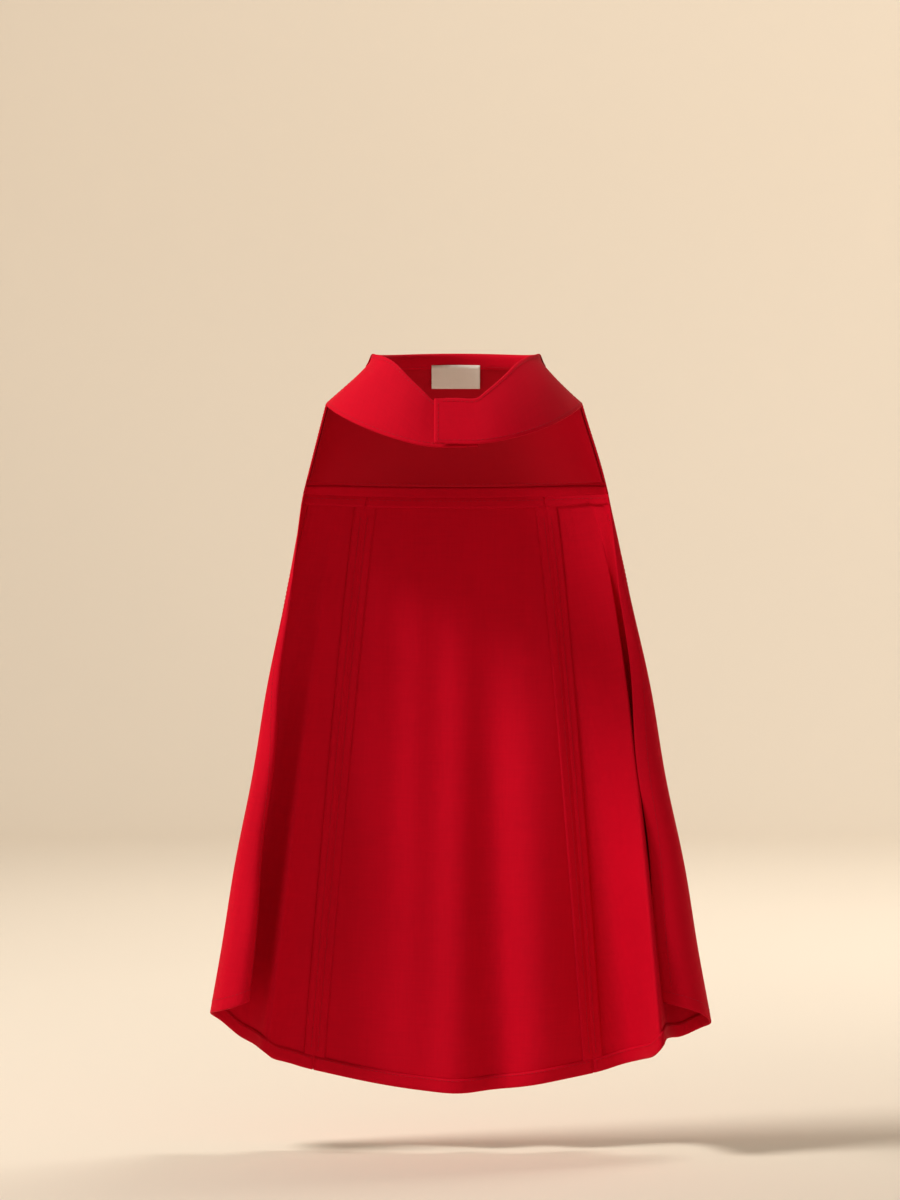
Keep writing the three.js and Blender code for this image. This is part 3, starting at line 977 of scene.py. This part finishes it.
def pile_field(count, half, path, thickness, jitter):
    """A square field of small bent bristles, each a four-sided tube along a path of across and out.

    Row and column places are moved by up to jitter of a pitch, and each bristle is turned on its foot.
    """
    draw = np.random.default_rng(7)
    spread = (np.arange(count) - (count - 1) / 2) * (2 * half / count)
    feet = np.stack(np.meshgrid(spread, spread, indexing="ij"), axis=-1).reshape(-1, 2)
    feet = feet + draw.uniform(-jitter, jitter, feet.shape) * (2 * half / count)
    turn = draw.uniform(0, 2 * math.pi, len(feet)) * min(1.0, 4 * jitter)
    across = np.cos(turn)[:, None] * path[None, :, 0]
    down = np.sin(turn)[:, None] * path[None, :, 0]
    tangent = unit(np.gradient(path, axis=0))
    angle = np.arange(4) * (math.pi / 2)
    wide = (thickness / 2) * np.cos(angle)[None]
    flat = (thickness / 2) * np.sin(angle)[None]
    bent_a, bent_o = -tangent[:, 1:] * wide, tangent[:, :1] * wide
    a = across[..., None] + np.cos(turn)[:, None, None] * bent_a - np.sin(turn)[:, None, None] * flat
    d = down[..., None] + np.sin(turn)[:, None, None] * bent_a + np.cos(turn)[:, None, None] * flat
    o = np.broadcast_to(path[None, :, 1, None] + bent_o[None], a.shape)
    points = closure_place(feet[:, 0, None, None] + a, feet[:, 1, None, None] + d, o)
    stations = len(path)
    corner, tube = tube_faces(stations, 4)
    tube = np.concatenate([tube, corner[0][None, ::-1], corner[-1][None]])
    faces = (tube[None] + (np.arange(len(feet)) * stations * 4)[:, None, None]).reshape(-1, 4)
    return points.reshape(-1, 3), faces


def hook_field():
    """Hooks on the pad's back face: a stem towards the loops, and a crook that turns back."""
    turn = np.linspace(0.0, math.pi * 1.15, 6)
    stem = np.array([(0.0, 0.0), (0.0, -0.18)]) * MM
    crook = np.stack([0.16 * (1 - np.cos(turn)), -0.22 - 0.16 * np.sin(turn)], axis=-1) * MM
    path = np.concatenate([stem, crook]) + [0.0, HOOK_DEPTHS[0]]
    return pile_field(HOOK_COUNT, PAD_HALF * 0.9, path, 0.13 * MM, 0.05)


def loop_field():
    """Loops on the other pad's front face: half rings with both feet in it, in all directions."""
    turn = np.linspace(-0.15, math.pi + 0.15, 7)
    path = np.stack([0.42 * np.cos(turn), 0.5 * np.sin(turn)], axis=-1) * MM + [0.0, LOOP_DEPTHS[1]]
    return pile_field(LOOP_COUNT, PAD_HALF * 0.9, path, 0.09 * MM, 0.45)


def inset_sides(grid, distance, where):
    """The grid with its sewn side columns moved in a little, so two panels don't share a line."""
    grid = grid.copy()
    if where != "right_side":
        grid[:, 0] += unit(grid[:, 1] - grid[:, 0]) * distance
    if where != "left_side":
        grid[:, -1] += unit(grid[:, -2] - grid[:, -1]) * distance
    return grid


# ---------------------------------------------------------------- stage sizes

FLOOR = -0.496
STAGE_FLAT = 3.4
STAGE_CURVE = 1.2
STAGE_TALL = 5.0
CAMERA_PLACE = (-0.0038, -2.4, -0.13)
CAMERA_LENS = 112.5
AIR_COLOUR = (1.0, 0.93, 0.86)
AIR_STRENGTH = 0.12
# name, place, target, diameter, watts, colour
LIGHTS = (
    ("key_light", (-1.55, -0.55, 1.65), (0.0, 0.0, -0.15), 0.7, 56.0, (1.0, 0.97, 0.92)),
    ("fill_light", (1.2, -2.0, 0.1), (0.0, 0.0, -0.2), 1.6, 2.0, (1.0, 0.95, 0.9)),
    ("wall_light", (1.2, 1.0, 2.2), (0.4, 4.6, 0.2), 1.6, 95.0, (1.0, 0.96, 0.9)),
)


# ---------------------------------------------------------------- pieces


class CAPE_OT_yoke(bpy.types.Operator):
    """The back yoke: its cloth with turned edges, its stiffener and its lining."""

    bl_idname = "cape.yoke"
    bl_label = "Back Yoke"

    def execute(self, context):
        sizes = context.scene.cape_sizes
        lift = sizes.cloth + FOLD_GAP
        grid = yoke_surface(*YOKE_GRID)
        folds = [
            edge_fold(grid, "bottom", sizes.seam_allowance, lift),
            edge_fold(grid, "left", TAB_TURNING, lift, (0, 6)),
            edge_fold(grid, "right", TAB_TURNING, lift, (0, 6)),
        ]
        cloth = cloth_object("yoke_cloth", [grid, *folds], sizes.cloth, finish_of(cape_cloth))
        join_frame(cloth, "back", ["back_yoke_outer"])
        stiffener = raised(yoke_surface(121, 44, 0.9, 0.02, 0.5), -STIFFENER_DEPTH)
        inner = cloth_object("neck_stiffener", [stiffener], STIFFENER_THICK, finish_of(stiffener_cloth))
        join_frame(inner, "back", ["neck_interfacing"])
        lining = raised(yoke_surface(141, 56, 0.985, 0.0, 0.92), -LINING_DEPTH)
        lined = cloth_object("yoke_lining", [lining], sizes.lining, finish_of(lining_cloth))
        join_frame(lined, "back", ["back_yoke_facing"])
        half = sizes.cloth / 2
        seams = [("bottom", inset, (0, 0)) for inset in YOKE_SEAM_INSETS]
        seams += [(side, YOKE_SIDE_INSET, (4, 2)) for side in ("left", "right")]
        for number, (side, inset, trim) in enumerate(seams):
            sew(f"yoke_stitches_{number}", grid, side, inset, "back", sizes, 1, half, trim)
        for side in ("left", "right"):
            name = f"yoke_lining_stitches_{side}"
            sew(name, lining, side, YOKE_SIDE_INSET, "back", sizes, -1, sizes.lining / 2, (4, 2))
        sew("yoke_lining_stitches_bottom", lining, "bottom", SEAM_INSET, "back", sizes, -1, sizes.lining / 2)
        return {"FINISHED"}


class CAPE_OT_neck(bpy.types.Operator):
    """The binding round the back of the neck and the blank label under it."""

    bl_idname = "cape.neck"
    bl_label = "Neck Binding and Label"

    def execute(self, context):
        sizes = context.scene.cape_sizes
        grid = yoke_surface(161, 64, 0.985)
        distance, offset = BINDING_PROFILE.T * MM
        points, normals = edge_rows(grid, "top", np.maximum(distance, 0.0))
        edge = edge_rows(grid, "top", [0.0, 0.6 * MM])[0]
        up = unit(edge[0] - edge[1])
        bound = points + normals * offset[:, None, None] + up * np.maximum(-distance, 0.0)[:, None, None]
        binding = cloth_object("neck_binding_tape", [bound[::-1]], BINDING_THICK, finish_of(binding_tape))
        join_frame(binding, "yoke", ["neck_binding"])
        sew("binding_stitches", grid, "top", BINDING_INSET, "yoke", sizes, 1, 1.1 * MM)
        sew("binding_stitches_inside", grid, "top", BINDING_INSET, "yoke", sizes, -1, 2.8 * MM)
        narrow = yoke_surface(41, 64, LABEL_REACH)
        distance, offset = LABEL_PROFILE.T * MM
        points, normals = edge_rows(narrow, "top", distance)
        leaf = points + normals * offset[:, None, None]
        leaf[..., 0] = np.linspace(-LABEL_HALF, LABEL_HALF, leaf.shape[1])
        label = cloth_object("care_label_ribbon", [leaf], LABEL_THICK, finish_of(label_ribbon))
        join_frame(label, "yoke", ["care_label"])
        for side in ("left", "right"):
            sew(f"label_stitches_{side}", leaf[-12:], side, LABEL_INSET, "yoke", sizes, -1, LABEL_THICK / 2)
        return {"FINISHED"}


class CAPE_OT_tabs(bpy.types.Operator):
    """The two front tabs, which meet at the throat, the wearer's left over the right."""

    bl_idname = "cape.tabs"
    bl_label = "Front Tabs"

    def execute(self, context):
        sizes = context.scene.cape_sizes
        lift = sizes.cloth + FOLD_GAP
        for hand, side, height in (("left", 1, CLOSURE_LIFT), ("right", -1, 0.0)):
            grid = tab_surface(side, *TAB_GRID, height)
            end, shoulder = ("right", "left") if side > 0 else ("left", "right")
            folds = [
                edge_fold(grid, "top", TAB_TURNING, lift, (8, 8)),
                edge_fold(grid, "bottom", TAB_TURNING, lift, (8, 8)),
                edge_fold(grid, end, TAB_TURNING, lift),
                edge_fold(grid, shoulder, TAB_TURNING, lift),
            ]
            where = f"{hand}_tab"
            cloth = cloth_object(f"{where}_cloth", [grid, *folds], sizes.cloth, finish_of(cape_cloth))
            join_frame(cloth, where, [f"{where}_outer"])
            lining = raised(tab_surface(side, 121, 40, height, 0.012, 0.988), -TAB_LINING_DEPTH)
            lining = lining[1:-1]
            lined = cloth_object(f"{where}_lining", [lining], sizes.lining, finish_of(lining_cloth))
            join_frame(lined, where, [f"{where}_facing"])
            for edge in ("top", "bottom", end, shoulder):
                name = f"{where}_stitches_{edge}"
                sew(name, grid, edge, TAB_INSET, where, sizes, 1, sizes.cloth / 2, (2, 2))
                inside = f"{name}_inside"
                sew(inside, lining, edge, TAB_LINING_INSET, where, sizes, -1, sizes.lining / 2, (2, 2))
        return {"FINISHED"}


class CAPE_OT_closure(bpy.types.Operator):
    """The hook pad under the left tab and the loop pad on the right one."""

    bl_idname = "cape.closure"
    bl_label = "Hook and Loop Pads"

    def execute(self, context):
        for name, depths, maker, body, node, slot_name in (
            ("hook_tape_pad", HOOK_DEPTHS, hook_nylon, "left_tab", "hook_pad", "hook_tape"),
            ("loop_tape_pad", LOOP_DEPTHS, loop_pile, "right_tab", "loop_pad", "loop_tape"),
        ):
            points, faces = pad_shell(*depths)
            pad = make_object(name, points, faces, finish_of(maker))
            rounded = pad.modifiers.new("rounded", "BEVEL")
            rounded.width = 0.25 * MM
            rounded.segments = 2
            rounded.limit_method = "ANGLE"
            join_frame(pad, body, [node])
        hooks = make_object("hook_tape_hooks", *hook_field(), finish_of(hook_nylon))
        join_frame(hooks, "left_tab")
        loops = make_object("loop_tape_loops", *loop_field(), finish_of(loop_pile))
        join_frame(loops, "right_tab")
        return {"FINISHED"}


class CAPE_OT_drape(bpy.types.Operator):
    """The drape: a back panel and two side panels that curl forward, hung as one cloth."""

    bl_idname = "cape.drape"
    bl_label = "Drape"

    def execute(self, context):
        sizes = context.scene.cape_sizes
        lift = sizes.cloth + FOLD_GAP
        coarse, seams = drape_design(*DRAPE_COARSE)
        coarse = hang(coarse, sizes)
        rows = np.linspace(0, coarse.shape[0] - 1, DRAPE_ROWS)
        parts = (
            ("right_side_cloth", "right_side_panel", "right_side", 0, seams[0]),
            ("back_panel_cloth", "back_panel", "drape", seams[0], seams[1]),
            ("left_side_cloth", "left_side_panel", "left_side", seams[1], coarse.shape[1] - 1),
        )
        for name, node, where, first, last in parts:
            columns = np.linspace(first, last, int((last - first) * DRAPE_FINER) + 1)
            grid = resample(coarse, rows, columns)
            grid = inset_sides(grid, SEAM_JOIN, where)
            free = {"right_side": "left", "left_side": "right"}.get(where)
            folds = [
                edge_fold(grid, "bottom", sizes.hem, lift),
                edge_fold(grid, "top", sizes.seam_allowance, lift),
            ]
            for side in ("left", "right"):
                depth = sizes.hem if side == free else sizes.seam_allowance
                folds.append(edge_fold(grid, side, depth, lift - UNDER_HEM))
            cloth = cloth_object(name, [grid, *folds], sizes.cloth, finish_of(cape_cloth))
            join_frame(cloth, where, [node])
            half = sizes.cloth / 2
            for face, layer in ((1, half), (-1, half + lift)):
                tag = f"{name}_{'outside' if face > 0 else 'inside'}"
                hem_inset = sizes.hem - HEM_STITCH_BACK
                sew(f"{tag}_hem", grid, "bottom", hem_inset, where, sizes, face, layer)
                for side in ("left", "right"):
                    inset = hem_inset if side == free else SEAM_INSET
                    sew(f"{tag}_{side}", grid, side, inset, where, sizes, face, layer, (5, 5))
            sew(f"{name}_top", grid, "top", SEAM_INSET, where, sizes, -1, half + lift)
        return {"FINISHED"}


class CAPE_OT_stage(bpy.types.Operator):
    """A pale floor that sweeps up to a wall all round, soft lights and the camera."""

    bl_idname = "cape.stage"
    bl_label = "Stage"

    def execute(self, context):
        scene = context.scene
        turn = np.linspace(0.0, math.pi / 2, 25)
        out = np.concatenate([[0.0, STAGE_FLAT / 2], STAGE_FLAT + STAGE_CURVE * np.sin(turn)])
        out = np.append(out, STAGE_FLAT + STAGE_CURVE)
        up = np.concatenate([[0.0, 0.0], STAGE_CURVE * (1 - np.cos(turn)), [STAGE_TALL]])
        around = np.linspace(0.0, 2 * math.pi, 97)
        sweep = np.stack(
            [
                out[:, None] * np.cos(around),
                out[:, None] * np.sin(around),
                np.repeat(FLOOR + up[:, None], len(around), axis=1),
            ],
            axis=-1,
        )
        floor = make_object("studio_sweep", sweep, grid_faces(*sweep.shape[:2]), finish_of(backdrop_paint))
        weld(floor)
        for name, place, target, width, power, colour in LIGHTS:
            light = bpy.data.lights.new(name, "AREA")
            light.shape = "DISK"
            light.size = width
            light.energy = power
            light.color = colour
            lamp = bpy.data.objects.new(name, light)
            lamp.location = place
            aim = Vector(target) - Vector(place)
            lamp.rotation_euler = aim.to_track_quat("-Z", "Y").to_euler()
            context.collection.objects.link(lamp)
        world = bpy.data.worlds.new("studio_air")
        world.use_nodes = True
        world.node_tree.nodes["Background"].inputs["Color"].default_value = (*AIR_COLOUR, 1.0)
        world.node_tree.nodes["Background"].inputs["Strength"].default_value = AIR_STRENGTH
        scene.world = world
        scene.view_settings.view_transform = "Standard"
        lens = bpy.data.cameras.new("camera")
        lens.lens = CAMERA_LENS
        camera = bpy.data.objects.new("camera", lens)
        camera.location = CAMERA_PLACE
        camera.rotation_euler = (math.pi / 2, 0.0, 0.0)
        context.collection.objects.link(camera)
        scene.camera = camera
        return {"FINISHED"}


class CAPE_PT_panel(bpy.types.Panel):
    """Lists the cape's pieces and their sizes and colours."""

    bl_idname = "CAPE_PT_panel"
    bl_label = "Superhero Cape"
    bl_space_type = "VIEW_3D"
    bl_region_type = "UI"
    bl_category = "Cape"

    def draw(self, context):
        layout = self.layout
        for operator in OPERATORS:
            layout.operator(operator.bl_idname)
        for group in (context.scene.cape_sizes, context.scene.cape_colours):
            box = layout.box()
            for key in group.__annotations__:
                box.prop(group, key)


OPERATORS = (CAPE_OT_yoke, CAPE_OT_neck, CAPE_OT_tabs, CAPE_OT_closure, CAPE_OT_drape, CAPE_OT_stage)
CLASSES = (CapeSizes, CapeColours, *OPERATORS, CAPE_PT_panel)


def register():
    """Adds the classes and the scene's settings."""
    for kind in CLASSES:
        bpy.utils.register_class(kind)
    bpy.types.Scene.cape_sizes = bpy.props.PointerProperty(type=CapeSizes)
    bpy.types.Scene.cape_colours = bpy.props.PointerProperty(type=CapeColours)


def unregister():
    """Takes them away again."""
    del bpy.types.Scene.cape_sizes
    del bpy.types.Scene.cape_colours
    for kind in reversed(CLASSES):
        bpy.utils.unregister_class(kind)


def main():
    register()
    for operator in (
        bpy.ops.cape.stage,
        bpy.ops.cape.yoke,
        bpy.ops.cape.neck,
        bpy.ops.cape.tabs,
        bpy.ops.cape.closure,
        bpy.ops.cape.drape,
    ):
        operator()


if __name__ == "__main__":
    main()
